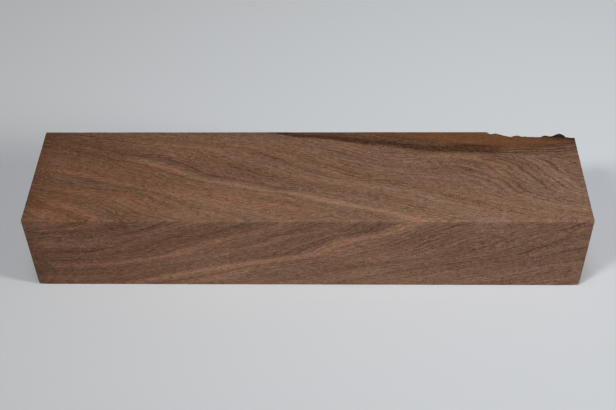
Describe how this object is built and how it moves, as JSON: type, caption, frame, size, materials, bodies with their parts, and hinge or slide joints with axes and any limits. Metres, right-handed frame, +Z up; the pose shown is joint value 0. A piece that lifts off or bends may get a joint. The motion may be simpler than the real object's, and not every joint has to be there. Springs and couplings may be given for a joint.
{
  "type": "walnut turning blank",
  "caption": "Rectangular block of figured walnut for the lathe, with sawn faces, sawn ends and a ragged live edge at one rear corner.",
  "frame": {"origin": "middle of the lower face, on the surface that the blank lies on", "axes": "+X along the grain towards the end with the live edge, -Y the sawn front face, +Z up"},
  "size_m": [0.3, 0.0706, 0.051],
  "materials": {
    "walnut": "matte"
  },
  "bodies": {
    "root": {"walnut_blank": "walnut"}
  },
  "joints": []
}
